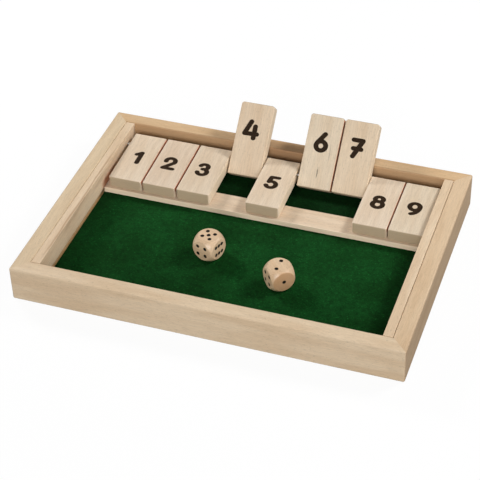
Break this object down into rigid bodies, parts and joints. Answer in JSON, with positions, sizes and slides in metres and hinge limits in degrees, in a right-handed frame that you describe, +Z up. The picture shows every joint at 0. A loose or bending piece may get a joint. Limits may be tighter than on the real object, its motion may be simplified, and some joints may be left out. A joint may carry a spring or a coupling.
{
  "type": "shut the box game",
  "caption": "Shallow wooden dice tray lined with green felt, with hinged number tiles on a steel rod at the back and loose dice",
  "frame": {"origin": "on the table, under the middle of the whole game's bounding box with tiles 4, 6 and 7 raised; that is 4.2 mm behind the middle of the tray's own footprint", "axes": "+X to the tray's right end (tile 9), +Y to the back, where the tiles are hinged, +Z up"},
  "size_m": [0.255, 0.1884, 0.0496],
  "materials": {
    "rail_wood": "pale beech, satin clear lacquer",
    "strip_wood": "pale beech, satin clear lacquer",
    "panel_wood": "bare thin plywood",
    "tile_wood": "pale maple, satin clear lacquer, dark printed numerals",
    "die_wood": "polished lacquered light wood, black pips",
    "green_felt": "short-pile green felt",
    "rod_steel": "bright drawn steel wire"
  },
  "bodies": {
    "tray": {"front_rail": "rail_wood", "back_rail": "rail_wood", "left_rail": "rail_wood", "right_rail": "rail_wood", "base_panel": "panel_wood", "felt_sheet": "green_felt", "left_strip": "strip_wood", "right_strip": "strip_wood", "rest_bar": "strip_wood", "hinge_rod": "rod_steel"},
    "tile_1": {"tile_1": "tile_wood"},
    "tile_2": {"tile_2": "tile_wood"},
    "tile_3": {"tile_3": "tile_wood"},
    "tile_4": {"tile_4": "tile_wood"},
    "tile_5": {"tile_5": "tile_wood"},
    "tile_6": {"tile_6": "tile_wood"},
    "tile_7": {"tile_7": "tile_wood"},
    "tile_8": {"tile_8": "tile_wood"},
    "tile_9": {"tile_9": "tile_wood"},
    "die_1": {"die_1": "die_wood"},
    "die_2": {"die_2": "die_wood"}
  },
  "joints": [
    {"name": "tile_1_hinge", "type": "hinge", "parent": "tray", "child": "tile_1", "pos_m": [-0.096, 0.0619, 0.01645], "axis": [-1, 0, 0], "range_deg": [0, 136.31]},
    {"name": "tile_2_hinge", "type": "hinge", "parent": "tray", "child": "tile_2", "pos_m": [-0.0717, 0.0619, 0.01645], "axis": [-1, 0, 0], "range_deg": [0, 136.31]},
    {"name": "tile_3_hinge", "type": "hinge", "parent": "tray", "child": "tile_3", "pos_m": [-0.0474, 0.0619, 0.01645], "axis": [-1, 0, 0], "range_deg": [0, 136.31]},
    {"name": "tile_4_hinge", "type": "hinge", "parent": "tray", "child": "tile_4", "pos_m": [-0.0231, 0.0619, 0.01645], "axis": [-1, 0, 0], "range_deg": [-136.31, 0]},
    {"name": "tile_5_hinge", "type": "hinge", "parent": "tray", "child": "tile_5", "pos_m": [0.0012, 0.0619, 0.01645], "axis": [-1, 0, 0], "range_deg": [0, 136.31]},
    {"name": "tile_6_hinge", "type": "hinge", "parent": "tray", "child": "tile_6", "pos_m": [0.02635, 0.0619, 0.01645], "axis": [-1, 0, 0], "range_deg": [-136.31, 0]},
    {"name": "tile_7_hinge", "type": "hinge", "parent": "tray", "child": "tile_7", "pos_m": [0.05065, 0.0619, 0.01645], "axis": [-1, 0, 0], "range_deg": [-136.31, 0]},
    {"name": "tile_8_hinge", "type": "hinge", "parent": "tray", "child": "tile_8", "pos_m": [0.0743, 0.0619, 0.01645], "axis": [-1, 0, 0], "range_deg": [0, 136.31]},
    {"name": "tile_9_hinge", "type": "hinge", "parent": "tray", "child": "tile_9", "pos_m": [0.0984, 0.0619, 0.01645], "axis": [-1, 0, 0], "range_deg": [0, 136.31]},
    {"name": "die_1_lift", "type": "slide", "parent": "tray", "child": "die_1", "axis": [0, 0, 1], "range_m": [0, 0.06]},
    {"name": "die_2_lift", "type": "slide", "parent": "tray", "child": "die_2", "axis": [0, 0, 1], "range_m": [0, 0.06]}
  ]
}
